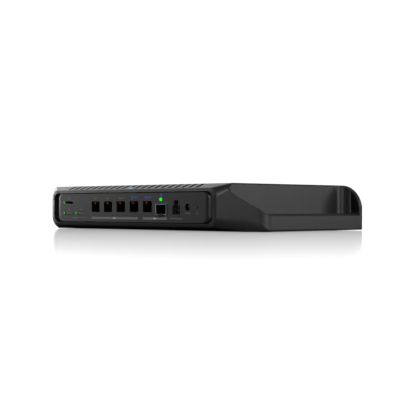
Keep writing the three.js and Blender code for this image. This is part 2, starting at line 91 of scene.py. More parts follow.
# name, place, the point it faces, width and height, watts
LAMPS_ROUND = [
    ("key_left", (-1.55, -0.55, 0.2), (0.0, -0.08, 0.02), (0.25, 0.6), 8.0),
    ("front_left", (-0.9, -1.3, 0.6), (0.0, -0.08, 0.02), (0.6, 0.6), 1.3),
    ("front_right", (0.9, -1.3, 0.4), (0.1, -0.08, 0.03), (0.6, 0.5), 4.4),
    ("right_side", (1.7, -0.15, 0.35), (0.15, 0.0, 0.03), (0.7, 0.6), 6.0),
    ("right_fill", (1.3, 0.95, 0.4), (0.15, 0.0, 0.03), (0.9, 0.9), 5.4),
    ("back_left", (-1.5, 0.35, 0.62), (-0.05, -0.05, 0.03), (0.5, 0.5), 3.0),
]


# ---- mesh helpers ------------------------------
def place(x, d, z):
    """A point d millimetres behind the port face, in metres."""
    return (x * MM, (FACE + d) * MM, z * MM)


def make(name, points, faces):
    mesh = bpy.data.meshes.new(name)
    mesh.from_pydata(points, [], faces)
    mesh.validate()
    obj = bpy.data.objects.new(name, mesh)
    bpy.context.scene.collection.objects.link(obj)
    return obj


def loft(name, rings):
    """Joins rings of (x, d, z) points one behind the other, and closes both ends."""
    count = len(rings[0])
    points = [place(*p) for ring in rings for p in ring]
    faces = []
    for r in range(len(rings) - 1):
        for i in range(count):
            a = r * count + i
            b = r * count + (i + 1) % count
            faces.append((a, b, b + count, a + count))
    faces.append(tuple(reversed(range(count))))
    last = (len(rings) - 1) * count
    faces.append(tuple(range(last, last + count)))
    obj = make(name, points, faces)
    outward(obj)
    return obj


def outward(obj):
    bm = bmesh.new()
    bm.from_mesh(obj.data)
    bmesh.ops.recalc_face_normals(bm, faces=bm.faces)
    if bm.calc_volume(signed=True) < 0:
        bmesh.ops.reverse_faces(bm, faces=bm.faces)
    bm.to_mesh(obj.data)
    bm.free()


def prism(name, outline, axis, low, high):
    """An outline of pairs pushed along an axis: y takes (x, z), x takes (d, z), z takes (x, d)."""
    rings = []
    for value in (low, high):
        if axis == "y":
            rings.append([(a, value, b) for a, b in outline])
        elif axis == "x":
            rings.append([(value, a, b) for a, b in outline])
        else:
            rings.append([(a, b, value) for a, b in outline])
    return loft(name, rings)


def block(name, x0, x1, d0, d1, z0, z1):
    return prism(name, [(x0, z0), (x1, z0), (x1, z1), (x0, z1)], "y", d0, d1)


def arc(cx, cy, radius, start, end, steps):
    turn = [math.radians(start + (end - start) * i / steps) for i in range(steps + 1)]
    return [(cx + radius * math.cos(t), cy + radius * math.sin(t)) for t in turn]


def rounded(x0, x1, z0, z1, radius, steps=10):
    return (
        arc(x1 - radius, z0 + radius, radius, -90, 0, steps)
        + arc(x1 - radius, z1 - radius, radius, 0, 90, steps)
        + arc(x0 + radius, z1 - radius, radius, 90, 180, steps)
        + arc(x0 + radius, z0 + radius, radius, 180, 270, steps)
    )


def round_bar(name, x, z, diameter, d0, d1, sides=32):
    outline = [(x + a, z + b) for a, b in arc(0, 0, diameter / 2, 0, 360, sides)[:-1]]
    return prism(name, outline, "y", d0, d1)


def apply(obj):
    """Bakes the object's modifiers into its mesh."""
    graph = bpy.context.evaluated_depsgraph_get()
    mesh = bpy.data.meshes.new_from_object(obj.evaluated_get(graph))
    old = obj.data
    obj.modifiers.clear()
    obj.data = mesh
    bpy.data.meshes.remove(old)


def combine(obj, tool, operation="DIFFERENCE"):
    modifier = obj.modifiers.new("combine", "BOOLEAN")
    modifier.operation = operation
    modifier.solver = "MANIFOLD"
    modifier.object = tool
    apply(obj)
    mesh = tool.data
    bpy.data.objects.remove(tool)
    bpy.data.meshes.remove(mesh)
    return obj


def mirrored(tool):
    copy = bpy.data.objects.new(tool.name + "_mirror", tool.data.copy())
    bpy.context.scene.collection.objects.link(copy)
    for vertex in copy.data.vertices:
        vertex.co.x = -vertex.co.x
    copy.data.flip_normals()
    return copy


def cut_both(obj, tool):
    other = mirrored(tool)
    combine(obj, tool)
    return combine(obj, other)


def merge_flat(obj, angle=0.3):
    """Joins the coplanar triangles that the cuts leave."""
    bm = bmesh.new()
    bm.from_mesh(obj.data)
    bmesh.ops.remove_doubles(bm, verts=bm.verts, dist=2e-6)
    bmesh.ops.dissolve_limit(
        bm, angle_limit=math.radians(angle), verts=bm.verts, edges=bm.edges, use_dissolve_boundaries=False
    )
    bm.to_mesh(obj.data)
    bm.free()


def soften(obj, width=0.25, segments=2, angle=30):
    """A small rounding on every hard edge, then smooth shading between hard edges."""
    if width:
        modifier = obj.modifiers.new("edges", "BEVEL")
        modifier.width = width * MM
        modifier.segments = segments
        modifier.limit_method = "ANGLE"
        modifier.angle_limit = math.radians(angle)
        modifier.use_clamp_overlap = True
        modifier.harden_normals = False
        apply(obj)
    for polygon in obj.data.polygons:
        polygon.use_smooth = True
    obj.data.set_sharp_from_angle(angle=math.radians(angle))
    modifier = obj.modifiers.new("even_normals", "WEIGHTED_NORMAL")
    modifier.keep_sharp = True
    apply(obj)
    return obj


# ---- housing ------------------------------
def flare_at(d):
    straight = RIM_HALF + (HALF - RIM_HALF) * d / FLARE
    over = 6.5
    if d < FLARE - over:
        return straight
    if d > FLARE + over:
        return HALF
    t = (d - FLARE + over) / (2 * over)
    slope = (HALF - RIM_HALF) / FLARE
    start = RIM_HALF + slope * (FLARE - over)
    return start + slope * 2 * over * (t - t * t / 2)


def top_at(d):
    over = 2.5
    slope = (HEIGHT - RIM_TOP) / SLOPE
    if d < SLOPE - over:
        return RIM_TOP + slope * d
    if d > SLOPE + over:
        return HEIGHT
    t = (d - SLOPE + over) / (2 * over)
    return RIM_TOP + slope * (SLOPE - over) + slope * 2 * over * (t - t * t / 2)


def chin_at(d):
    return BASE + (RIM_BOTTOM - BASE) * max(0.0, 1 - d / CHIN)


def between(d, table):
    for (d0, v0), (d1, v1) in zip(table, table[1:]):
        if d <= d1:
            return v0 + (v1 - v0) * max(0.0, (d - d0)) / (d1 - d0)
    return table[-1][1]


# The lower corners are parts of an ellipse: LOW_WIDE across and LOW_TALL up.
LOW_WIDE = [(0, 7.4), (2, 7.4), (6, 5.0), (20, 5.0), (26, 4.0), (34, 1.6), (168, 1.2)]
LOW_TALL = [(0, 8.8), (2, 8.8), (6, 9.5), (12, 10.5), (20, 12), (27, 8), (34, 2.0), (168, 1.2)]
TOP_RADIUS = [(0, 8.5), (6, 6.5), (12, 4.0), (20, 2.0), (168, 1.2)]


def oval_arc(cx, cz, wide, tall, start, end, steps):
    return [(cx + a * wide, cz + b * tall) for a, b in arc(0, 0, 1, start, end, steps)]


def outer_ring(d, side=0.0, up=0.0):
    half = flare_at(d) - side
    low = chin_at(d) + up
    top = top_at(d) - up
    wide = between(d, LOW_WIDE) - side * 0.12
    tall = between(d, LOW_TALL) - up * 0.78
    r_top = between(d, TOP_RADIUS) - up * 0.6
    steps = 12
    points = oval_arc(half - wide, low + tall, wide, tall, -90, 0, steps)
    points += arc(half - r_top, top - r_top, r_top, 0, 90, steps)
    points += arc(-half + r_top, top - r_top, r_top, 90, 180, steps)
    points += oval_arc(-half + wide, low + tall, wide, tall, 180, 270, steps)
    return [(x, d, z) for x, z in points]


def arch_outline(inset, low, corner, steps=24):
    radius = ARCH_R - inset
    side = ARCH_X + radius
    points = arc(side - corner, low + corner, corner, -90, 0, 6)
    points += arc(ARCH_X, ARCH_Z, radius, 0, 90, steps)
    points += arc(-ARCH_X, ARCH_Z, radius, 90, 180, steps)
    points += arc(-side + corner, low + corner, corner, 180, 270, 6)
    return points


def build_housing():
    rings = []
    for share, inward in ((0, 1.0), (0.9, 0.1), (1.0, 0.02)):
        rings.append(outer_ring(LIP_BACK * share, LIP_SIDE * inward, LIP_UP * inward))
    d = LIP_BACK + 0.5
    while d < 46:
        rings.append(outer_ring(d))
        d += 1.0
    rings.append(outer_ring(60))
    rings.append(outer_ring(DEPTH - 0.8))
    rings.append([(x * 0.9975, DEPTH, z) for x, _, z in outer_ring(DEPTH)])
    housing = loft("top_housing_skin", rings)
    combine(housing, prism("arch", arch_outline(0, BASE, 1.2), "y", -1, DEPTH + 1), "INTERSECT")

    plan = [(BLOCK_HALF, -1), (HALF + 2, -1), (HALF + 2, RECESS_END)]
    plan += arc(BLOCK_HALF + RECESS_FILLET, RECESS_END - RECESS_FILLET, RECESS_FILLET, 90, 180, 32)
    recess = prism("recess", plan, "z", LEDGE - 1, HEIGHT + 6)
    side = RAMP + [(DEPTH + 2, LEDGE), (DEPTH + 2, HEIGHT + 6)]
    combine(recess, prism("recess_side", side, "x", 100, HALF + 3), "INTERSECT")
    cut_both(housing, recess)
    cut_both(housing, ledge_chamfer())
    edge = [(BLOCK_HALF + 1, HEIGHT - 2.2), (BLOCK_HALF + 1, HEIGHT + 1), (BLOCK_HALF - 2.2, HEIGHT + 1)]
    cut_both(housing, prism("block_edge", edge, "y", 8.8, RECESS_END - RECESS_FILLET))
    merge_flat(housing)
    return housing


def ledge_chamfer():
    """The slanted band along the wing's outer edge, and a thin one that follows the ramp up."""
    section = [(HALF + 1, 13.4), (HALF + 1, 17.5), (HALF - 4.1, 17.5)]
    chamfer = prism("ledge_chamfer", section, "y", 30, RECESS_END)
    rings = []
    for d, z in [(6.2, 41.0)] + RAMP[2:] + [(36.0, 16.3)]:
        x = flare_at(d)
        rings.append([(x + 1.2, d, z - 2.2), (x + 1.2, d, z + 1.0), (x - 1.3, d, z + 1.0)])
    return combine(chamfer, loft("ramp_chamfer", rings), "UNION")


def finish_housing(housing):
    inner = ARCH_R - ARCH_BAND
    opening = [(OPENING_LEFT, OPENING_LOW)]
    opening += arc(ARCH_X + inner - 2.0, OPENING_LOW + 1.9, 1.9, -90, -8, 6)
    opening += arc(ARCH_X, ARCH_Z, inner, 3, math.degrees(math.acos((OPENING_LEFT - ARCH_X) / inner)), 20)
    cut_both(housing, prism("wall_opening", opening, "y", RECESS_END - 1, 166))
    wide, deep = 4.0, 1.5
    edge = oval_arc(OPENING_LEFT - wide, RECESS_END + deep, wide, deep, -90, 0, 12)
    edge += [(OPENING_LEFT + 0.1, RECESS_END + deep), (OPENING_LEFT + 0.1, RECESS_END - 0.1),
             (OPENING_LEFT - wide, RECESS_END - 0.1)]
    cut_both(housing, prism("opening_edge", edge, "z", OPENING_LOW, 40))
    combine(housing, prism("pocket", rounded(-113.8, 113.8, 7.3, 36.4, 7.0), "y", -1, 5.6))
    combine(housing, prism("throat", rounded(-108.6, 108.6, 10, 34, 4.0), "y", 4, 9))
    combine(housing, block("front_room", -116, 116, 7.6, 26, 6, 36.4))
    combine(housing, block("middle_room", -118, 118, 14, 30, 6, 38.4))
    combine(housing, block("main_room", -122, 122, 24, 166.2, 3, 38.4))
    cut_both(housing, block("wing_room", 121, 147, 37.5, 160, 2.5, 13.6))
    combine(housing, block("cover_room", -146, 146, 37, 160, -1, 3))
    combine(housing, prism("rear_room", arch_outline(ARCH_BAND, 4.1, 2), "y", 165.2, DEPTH + 1))
    for i in range(GROOVES):
        x = (i - (GROOVES - 1) / 2) * PITCH
        combine(housing, groove_tool(x))
    merge_flat(housing)
    return housing


def groove_tool(x):
    """A groove with a rounded floor, started just behind the front edge and run out at the back."""
    half = GROOVE_WIDE / 2
    rings = []
    stations = [(2.0, 0.05), (2.35, 0.9), (3.0, 1.7), (4.0, 2.3)]
    stations += [(d, 2.4) for d in (6, 8, 10, 12, 14, 16)] + [(142, 2.4), (146, 1.2), (148.5, 0.02)]
    for d, drop in stations:
        floor = top_at(d) - drop
        corner = min(0.7, drop * 0.45)
        section = [(x - half, HEIGHT + 2), (x - half, floor + corner)]
        section += arc(x - half + corner, floor + corner, corner, 180, 270, 3)[1:]
        section += arc(x + half - corner, floor + corner, corner, 270, 360, 3)
        section += [(x + half, HEIGHT + 2)]
        rings.append([(a, d, b) for a, b in section])
    return loft("groove", rings)


housing = build_housing()
finish_housing(housing)
soften(housing, 0.22, 2, 32)


# ---- front panel ------------------------------
def build_panel():
    nose, rings = 7.0, []
    for i in range(13):
        t = math.radians(64.6 * i / 12)
        back = 1 - math.sin(t)
        half = 111.4 - nose * back
        trim = 0.35 * back
        radius = 6.5 - 2.2 * back
        d = PANEL_FRONT + nose * (1 - math.cos(t))
        rings.append([(x, d, z) for x, z in rounded(-half, half, 7.9 + trim, 35.9 - trim, radius)])
    rings.append([(x, 4.5, z) for x, z in rounded(-107.2, 107.2, 9.2, 34.6, 4.5)])
    rings.append([(x, 3.5, z) for x, z in rounded(-106.8, 106.8, 9.4, 34.4, 4.5)])
    panel = loft("front_panel_skin", rings)
    tools = [block("jack_cut", x - 6.2, x + 6.2, -1, 6, 17.5, 28.0) for x in JACKS]
    tools.append(block("cage_cut", CAGE_X - 8.0, CAGE_X + 8.0, -1, 6, 14.7, 25.7))
    tools.append(block("latch_cut", LATCH_X - 3.8, LATCH_X + 3.8, -1, 6, 12.7, 14.9))
    tools.append(block("power_cut", POWER_X - 5.15, POWER_X + 5.15, -1, 6, 15.4, 23.8))
    tools.append(block("power_key_cut", POWER_X - 2.95, POWER_X + 2.95, -1, 6, 22.8, 28.5))
    tools.append(round_bar("dc_cut", DC_X, DC_Z, 6.4, -1, 6, 48))
    tools.append(round_bar("reset_cut", RESET_X, RESET_Z, 1.6, -1, 6, 24))
    card = [(-6.4, 26.1), (1.2, 26.1), (1.9, 25.7), (6.4, 25.7)]
    card += [(6.4, 27.7), (2.2, 27.7), (1.4, 28.2), (-6.4, 28.2)]
    tools.append(prism("card_cut", [(CARD_X + a, b) for a, b in card], "y", -1, 6))
    for x in TRAYS:
        tools.append(prism("tray_cut", rounded(x - 6.95, x + 6.95, 14.4, 18.4, 1.99), "y", -1, 6))
    for x, z in LAMPS:
        tools.append(round_bar("lamp_cut", x, z, 2.2, -1, 6, 24))
    tools.append(prism("port_lamp_cut", rounded(44.4, 48.4, 27.65, 31.15, 1.0), "y", -1, 6))
    tools.append(block("sfp_lamp_cut", 53.2, 54.8, -1, 6, 25.6, 26.7))
    for tool in tools:
        combine(panel, tool)
    merge_flat(panel)
    return soften(panel, 0.12, 2, 34)


panel = build_panel()


# ---- sockets ------------------------------
def strip(name, path, wide, thick):
    """A flat metal strip along (x, d, z) points."""
    rings = []
    for i, (x, d, z) in enumerate(path):
        a = path[max(i - 1, 0)]
        b = path[min(i + 1, len(path) - 1)]
        run, rise = b[1] - a[1], b[2] - a[2]
        size = math.hypot(run, rise) or 1.0
        nd, nz = -rise / size * thick / 2, run / size * thick / 2
        rings.append([(x - wide / 2, d - nd, z - nz), (x + wide / 2, d - nd, z - nz),
                      (x + wide / 2, d + nd, z + nz), (x - wide / 2, d + nd, z + nz)])
    return loft(name, rings)


def join_objects(name, objects):
    bm = bmesh.new()
    for obj in objects:
        bm.from_mesh(obj.data)
    mesh = bpy.data.meshes.new(name)
    bm.to_mesh(mesh)
    bm.free()
    for obj in objects:
        data = obj.data
        bpy.data.objects.remove(obj)
        bpy.data.meshes.remove(data)
    joined = bpy.data.objects.new(name, mesh)
    bpy.context.scene.collection.objects.link(joined)
    return joined


def inset_outline(outline, by):
    """Moves every side of a right-angled, anticlockwise outline inwards."""
    moved = []
    count = len(outline)
    for i, (x, z) in enumerate(outline):
        before, after = outline[i - 1], outline[(i + 1) % count]
        dx1, dz1 = x - before[0], z - before[1]
        dx2, dz2 = after[0] - x, after[1] - z
        nx = -(math.copysign(1, dz1) if abs(dz1) > 1e-6 else math.copysign(1, dz2))
        nz = math.copysign(1, dx1) if abs(dx1) > 1e-6 else math.copysign(1, dx2)
        moved.append((x + nx * by, z + nz * by))
    return moved


def collar(body, outline):
    """Adds the thin dark rim of a connector that fills the opening in the panel."""
    ring = prism("collar", inset_outline(outline, 0.02), "y", 0.75, BEHIND_PANEL + 0.1)
    combine(ring, prism("collar_bore", inset_outline(outline, 0.24), "y", 0, 6))
    return combine(body, ring, "UNION")


def build_jack(number, x):
    body = block(f"rj45_body_{number}", x - 8.2, x + 8.2, BEHIND_PANEL, 20.8, 13.9, 31)
    collar(body, [(x - 6.2, 17.5), (x + 6.2, 17.5), (x + 6.2, 28.0), (x - 6.2, 28.0)])
    mouth = block("mouth", x - 5.95, x + 5.95, 0, 16.8, 19.7, 27.8)
    combine(body, mouth)
    combine(body, block("key", x - 3.0, x + 3.0, 0, 16.8, 17.5, 20.2))
    combine(body, block("key_step", x - 4.4, x + 4.4, 0, 16.8, 18.7, 20.2))
    for i in range(8):
        cx = x + (i - 3.5) * 1.02
        combine(body, block("comb", cx - 0.33, cx + 0.33, 4.6, 15, 27.0, 28.35))
    soften(body, 0.15, 2)
    wires = []
    bends = [(5.0, 28.05), (7.0, 28.0), (8.2, 27.6), (13.6, 24.6), (14.4, 24.35), (15.2, 24.5)]
    for i in range(8):
        cx = x + (i - 3.5) * 1.02
        wires.append(strip("wire", [(cx, d, z) for d, z in bends], 0.45, 0.22))
    contacts = join_objects(f"rj45_contacts_{number}", wires)
    soften(contacts, 0.05, 1)
    glow = block(f"rj45_glow_{number}", x - 5.9, x - 5.35, 3.7, 5.3, 25.3, 27.2)
    soften(glow, 0.1, 2)
    return body, contacts, glow


def build_cage():
    x0, x1 = CAGE_X - CAGE_HALF, CAGE_X + CAGE_HALF
    cage = block("sfp_cage_body", x0, x1, 0.15, 46, 15.0, 25.4)
    combine(cage, prism("inside", rounded(x0 + 1.2, x1 - 1.2, 15.9, 24.5, 0.4, 5), "y", -1, 45))
    combine(cage, block("front_notch", LATCH_X - 2.9, LATCH_X + 2.9, -1, 6, 14.5, 15.95))
    for side in (-1, 1):
        for i in range(3):
            d = 8 + i * 11
            x = CAGE_X + side * CAGE_HALF
            combine(cage, block("side_window", x - 1.2, x + 1.2, d, d + 6, 18.5, 22.5))
    merge_flat(cage)
    soften(cage, 0.22, 2)
    rails = []
    for side in (-1, 1):
        x = CAGE_X + side * 6.2
        rails.append(block("rail", x - 0.5, x + 0.5, 6, 43, 16.3, 17.2))
    rails.append(block("core", CAGE_X - 5.2, CAGE_X + 5.2, 33, 43.5, 17.0, 23.4))
    combine(rails[2], block("core_slot", CAGE_X - 4.4, CAGE_X + 4.4, 30, 39, 19.6, 20.9))
    inner = join_objects("sfp_connector", rails)
    soften(inner, 0.15, 2)
    # Painted shade: a black sheet 0.08 mm thick lines the steel cage's inside, so the hollow looks dark where
    # the bare steel would only be in shade.
    shade_lining = block("sfp_cage_shade_lining", x0 + 1.2, x1 - 1.2, 0.9, 44.9, 15.9, 24.5)
    combine(shade_lining, block("shade_lining_bore", x0 + 1.28, x1 - 1.28, 0, 44.8, 15.98, 24.42))
    combine(shade_lining, block("shade_lining_notch", LATCH_X - 2.9, LATCH_X + 2.9, 0, 6, 15.0, 16.5))
    soften(shade_lining, 0.0)
    return cage, inner, shade_lining


def build_latch():
    front = rounded(LATCH_X - 3.5, LATCH_X + 3.5, 13.5, 14.5, 0.35, 4)
    tongue = prism("sfp_latch_tongue", front, "y", 0.35, 4.0)
    combine(tongue, block("neck", LATCH_X - 2.2, LATCH_X + 2.2, 3.4, 14, 13.9, 14.5), "UNION")
    soften(tongue, 0.12, 2)
    path = [(LATCH_X, d, z) for d, z in ((0.25, 15.95), (1.2, 16.0), (4, 15.5), (6, 14.8), (13, 14.7))]
    spring = strip("sfp_latch_spring", path, 4.6, 0.3)
    soften(spring, 0.06, 1)
    return tongue, spring


def build_power():
    header = block("power_header_body", POWER_X - 6.6, POWER_X + 6.6, BEHIND_PANEL, 20.8, 13.9, 30)
    left, right = POWER_X - 5.15, POWER_X + 5.15
    key_left, key_right = POWER_X - 2.95, POWER_X + 2.95
    collar(header, [(left, 15.4), (right, 15.4), (right, 23.8), (key_right, 23.8), (key_right, 28.5),
                    (key_left, 28.5), (key_left, 23.8), (left, 23.8)])
    combine(header, block("key_room", POWER_X - 2.95, POWER_X + 2.95, 2, 15, 24.3, 28.5))
    for x, z in POWER_PINS:
        chamber = rounded(x - 1.75, x + 1.75, z - 1.65, z + 1.65, 0.45, 3)
        combine(header, prism("chamber", chamber, "y", 0, 15))
        combine(header, block("pin_way", x - 0.8, x + 0.8, 10, 22, z - 0.8, z + 0.8))
    soften(header, 0.15, 2)
    pins = []
    for number, (x, z) in enumerate(POWER_PINS, 1):
        rings = []
        for d, half in ((6.5, 0.22), (7.3, 0.5), (22.3, 0.5)):
            square = rounded(x - half, x + half, z - half, z + half, half * 0.2, 2)
            rings.append([(a, d, b) for a, b in square])
        pins.append(soften(loft(f"power_pin_metal_{number}", rings), 0))
    return header, pins


def build_dc():
    body = block("dc_jack_body", DC_X - 5, DC_X + 5, BEHIND_PANEL, 17.8, 13.9, 27.6)
    combine(body, round_bar("barrel_rim", DC_X, DC_Z, 6.34, 0.75, 4.5, 48), "UNION")
    combine(body, round_bar("barrel", DC_X, DC_Z, 5.9, 0, 14, 48))
    combine(body, round_bar("pin_way", DC_X, DC_Z, 3.6, 10, 20, 24))
    soften(body, 0.15, 2)
    rings = []
    for d, radius in ((2.0, 0.9), (2.15, 1.25), (2.5, 1.5), (19, 1.5)):
        rings.append([(DC_X + a, d, DC_Z + b) for a, b in arc(0, 0, radius, 0, 360, 24)[:-1]])
    centre = loft("dc_pin_metal", rings)
    combine(centre, block("split", DC_X - 2, DC_X + 2, 0, 9, DC_Z - 0.5, DC_Z + 0.5))
    soften(centre, 0.05, 2)
    return body, centre


def build_tray(number, x):
    rings = []
    for d, inset in ((0.6, 0.25), (0.68, 0.08), (0.85, 0.0), (3.1, 0.0)):
        half = 6.65 - inset
        oval = rounded(x - half, x + half, 14.7 + inset, 18.1 - inset, 1.69 - inset)
        rings.append([(a, d, b) for a, b in oval])
    pill = loft(f"sim_tray_front_{number}", rings)
    combine(pill, block("carrier", x - 5.8, x + 5.8, 2.5, 18, 15.4, 16.9), "UNION")
    combine(pill, round_bar("eject", x + 5.2, 16.4, 0.9, 0, 1.9, 20))
    card = [(x - 4.6, 6), (x + 4.2, 6), (x + 4.2, 16.8), (x - 3.2, 16.8), (x - 4.6, 15.4)]
    combine(pill, prism("card_bed", card, "z", 16.1, 17.5))
    merge_flat(pill)
    return soften(pill, 0.1, 2)


def dome(name, x, z, diameter, front, back):
    """A light guide with a slightly domed end."""
    rings = []
    for share, step in ((0.15, 0.0), (0.55, 0.06), (0.85, 0.2), (1.0, 0.42)):
        r = diameter / 2 * share
        rings.append([(x + a, front + step, z + b) for a, b in arc(0, 0, r, 0, 360, 24)[:-1]])
    r = diameter / 2
    rings.append([(x + a, back, z + b) for a, b in arc(0, 0, r, 0, 360, 24)[:-1]])
    return soften(loft(name, rings), 0)


# ---- small fasteners and feet ------------------------------
def turned(name, profile, sides=36):
    """Spins (radius, height) points, bottom to top, about the height axis, at the origin."""
    points, faces = [], []
    for radius, height in profile:
        for i in range(sides):
            t = 2 * math.pi * i / sides
            points.append((radius * math.cos(t) * MM, radius * math.sin(t) * MM, height * MM))
    for r in range(len(profile) - 1):
        for i in range(sides):
            a, b = r * sides + i, r * sides + (i + 1) % sides
            faces.append((a, b, b + sides, a + sides))
    faces.append(tuple(reversed(range(sides))))
    last = (len(profile) - 1) * sides
    faces.append(tuple(range(last, last + sides)))
    obj = make(name, points, faces)
    outward(obj)
    return obj


def screw(name, x, d, z, facing, shank=7.6):
    """A low screw with a hexagon socket. facing is where its head looks: down, up or back."""
    profile = [(2.45, 0.0), (2.7, 0.12), (2.8, 0.35), (2.8, 0.75), (1.4, 0.75), (1.4, 0.75 + shank - 0.5),
               (0.9, 0.75 + shank)]
    obj = turned(name, profile)
    hexagon = turned("hexagon", [(1.3, -1.0), (1.3, 0.42)], 6)
    combine(obj, hexagon)
    soften(obj, 0.06, 2)
    turn = {"down": Matrix.Identity(4), "up": Matrix.Rotation(math.pi, 4, "X"),
            "back": Matrix.Rotation(math.pi / 2, 4, "X")}[facing]
    obj.data.transform(Matrix.Translation(place(x, d, z)) @ turn)
    return obj


def foot(name, x, d):
    profile = [(6.2, 0.0), (6.7, 0.12), (6.95, 0.4), (7.0, 1.1)]
    obj = turned(name, profile, 48)
    for radius in (2.2, 4.2):
        ring = turned("ring", [(radius, -0.5), (radius, 0.18)], 48)
        hole = turned("hole", [(radius - 0.5, -0.6), (radius - 0.5, 0.3)], 48)
        combine(ring, hole)
        combine(obj, ring)
    soften(obj, 0.05, 2)
    obj.data.transform(Matrix.Translation(place(x, d, 0)))
    return obj


# ---- rear panel ------------------------------

def build_rear():
    rings = []
    for d, inset in ((165.5, 0.3), (167.6, 0.3), (167.9, 0.45), (168.0, 0.7)):
        rings.append([(x, d, z) for x, z in arch_outline(ARCH_BAND + inset, 4.1 + inset, 2)])
    rear = loft("rear_panel_skin", rings)
    dish = [(137, 19), (145.5, 19), (145, 25), (141.8, 31), (137.5, 35)]
    cut_both(rear, prism("dish", dish, "y", 164, 167.1))
    for x, z in REAR_SCREWS:
        combine(rear, round_bar("screw_way", x, z, 3.4, 160, 170, 24))
        combine(rear, round_bar("screw_sink", x, z, 6.2, 166.8, 170, 36))
    for i in range(6):
        gap = rounded(-100, 100, 11 + i * 4, 12.6 + i * 4, 0.75, 5)
        combine(rear, prism("rib_gap", gap, "y", 167.3, 170))
    merge_flat(rear)
    return soften(rear, 0.15, 2)


# ---- printed marks on the panel ------------------------------
def flat(points, depth_out=0.03):
    """A thin printed patch standing a hair proud of the panel's face."""
    return prism("mark", points, "y", PANEL_FRONT - depth_out, PANEL_FRONT + 0.02)


def marks(name, patches):
    obj = join_objects(name, [flat(p) for p in patches])
    for polygon in obj.data.polygons:
        polygon.use_smooth = False
    return obj


def dashes(x0, x1, z, tall, widths):
    """A row of small plain dashes in place of lettering."""
    patches, x, i = [], x0, 0
    while x < x1:
        w = min(widths[i % len(widths)], x1 - x)
        patches.append(rounded(x, x + w, z - tall / 2, z + tall / 2, min(w, tall) * 0.2, 2))
        x += w + 0.42
        i += 1
    return patches


def ring_patches(x, z, outer, inner, steps=28):
    outside = arc(x, z, outer, 0, 360, steps)
    inside = arc(x, z, inner, 0, 360, steps)
    return [[outside[i], outside[i + 1], inside[i + 1], inside[i]] for i in range(steps)]


def globe(x, z, radius):
    patches = ring_patches(x, z, radius, radius * 0.8)
    for wide, tall in ((radius * 0.9, 0.12), (0.12, radius * 0.9)):
        left, right = x - wide, x + wide
        patches.append([(left, z - tall), (right, z - tall), (right, z + tall), (left, z + tall)])
    curve = [(0.45, 0), (0.32, 0.75), (0.16, 0.75), (0.28, 0), (0.16, -0.75), (0.32, -0.75)]
    left = [(x - radius * a, z + radius * b) for a, b in curve]
    patches.append(left[:4])
    patches.append([left[0], left[3], left[4], left[5]])
    right = [(2 * x - a, b) for a, b in left]
    patches.append(list(reversed(right[:4])))
    patches.append(list(reversed([right[0], right[3], right[4], right[5]])))
    return patches


def build_marks():
    pieces = []
    bars = [rounded(-54.0, 15.0, 10.7, 12.9, 0.25, 3), rounded(21.7, 55.0, 10.7, 12.9, 0.25, 3)]
    pieces.append((marks("panel_bars", bars), "bar"))
    blobs = [rounded(-21.3, -17.3, 11.1, 12.5, 0.65, 5), rounded(36.2, 40.2, 11.1, 12.5, 0.65, 5)]
    tags = [prism("tag", outline, "y", PANEL_FRONT - 0.06, PANEL_FRONT) for outline in blobs]
    pieces.append((join_objects("panel_bar_tags", tags), "tag"))
    grey = []
    grey += dashes(-91.5, -87.7, 19.9, 1.5, [0.8, 0.5, 0.9])
    grey += dashes(-71.8, -67.9, 19.9, 1.5, [0.8, 0.5, 0.9])
    grey += dashes(-84.8, -75.4, 11.9, 1.5, [0.9, 0.6, 1.1, 0.8])
    grey.append([(-96.4, 11.75), (-86.0, 11.75), (-86.0, 12.05), (-96.4, 12.05)])
    grey.append([(-74.2, 11.75), (-63.0, 11.75), (-63.0, 12.05), (-74.2, 12.05)])
    grey.append([(-96.4, 11.75), (-96.1, 11.75), (-96.1, 12.8), (-96.4, 12.8)])
    grey.append([(-63.3, 11.75), (-63.0, 11.75), (-63.0, 12.8), (-63.3, 12.8)])
    grey.append(rounded(-90.7, -88.5, 30.0, 32.2, 0.3, 3))
    grey.append([(-90.4, 32.6), (-89.0, 32.6), (-89.0, 33.5), (-90.4, 33.5)])
    for x in JACKS[:3]:
        grey.append([(x - 2.0, 30.2), (x - 0.6, 30.2), (x - 0.6, 31.6), (x - 2.0, 31.6)])
        grey.append([(x - 0.3, 30.0), (x + 0.4, 30.0), (x + 1.9, 32.0), (x + 1.2, 32.0)])
    grey += dashes(JACKS[2] + 2.4, JACKS[2] + 6.0, 31.2, 1.0, [0.7, 0.5])
    grey += dashes(59.4, 75.2, 11.9, 1.5, [0.9, 0.6, 1.1, 0.8, 0.7])
    grey += dashes(79.3, 85.6, 16.7, 1.4, [0.8, 0.6, 1.0])
    grey += ring_patches(RESET_X, 16.7, 1.25, 0.85)
    pieces.append((marks("panel_labels", grey), "label"))
    blue = []
    for x in JACKS[3:]:
        blue += globe(x - 2.1, 31.2, 1.75)
        blue += dashes(x + 0.6, x + 5.8, 31.6, 1.0, [0.9, 0.6, 0.7])
        blue += dashes(x + 0.6, x + 3.0, 30.2, 0.6, [0.9, 0.6, 0.7])
    blue += globe(CAGE_X, 33.0, 1.6)
    pieces.append((marks("panel_blue_marks", blue), "blue"))
    return pieces


